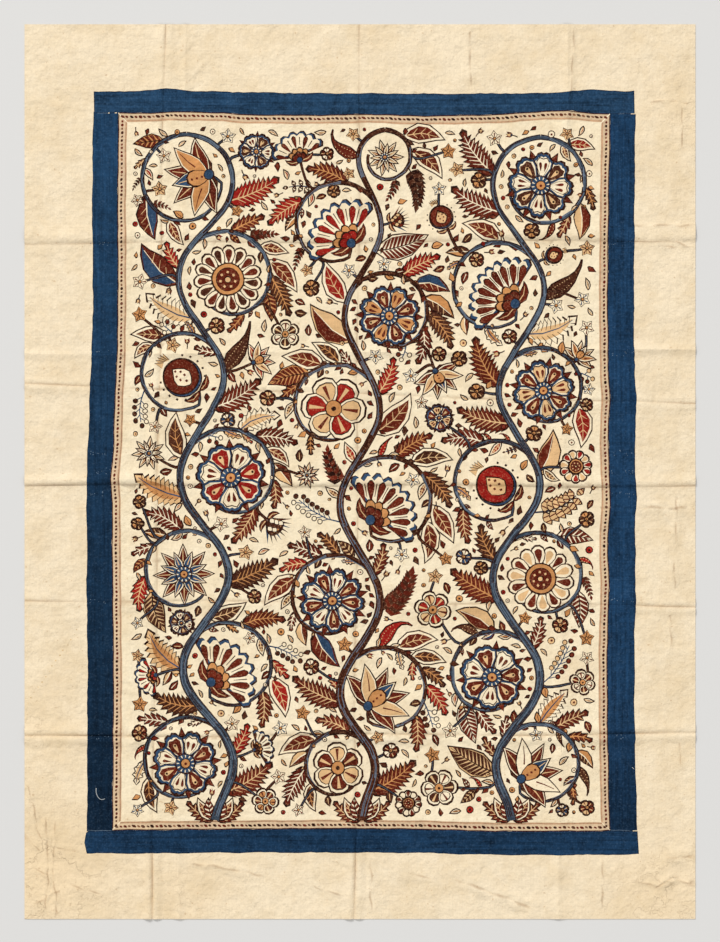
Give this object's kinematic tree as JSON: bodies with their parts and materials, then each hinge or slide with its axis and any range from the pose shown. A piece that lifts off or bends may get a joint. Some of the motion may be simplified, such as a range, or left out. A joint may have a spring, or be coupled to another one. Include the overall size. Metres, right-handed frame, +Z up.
{
  "type": "kalamkari panel",
  "caption": "Flat rectangular cotton cloth with fold creases: a printed floral field, a rope border, a painted indigo band and a bare cream margin.",
  "frame": {"origin": "on the surface under the middle of the cloth", "axes": "+Z up out of the painted face, +Y to the top of the design, +X to its right"},
  "size_m": [0.914, 1.219, 0.0076],
  "materials": {
    "painted_cotton": "matt plain-woven cotton, undyed cream, with indigo, madder red, brown and ochre dyes soaked into it"
  },
  "bodies": {
    "root": {"painted_cloth": "painted_cotton"}
  },
  "joints": []
}
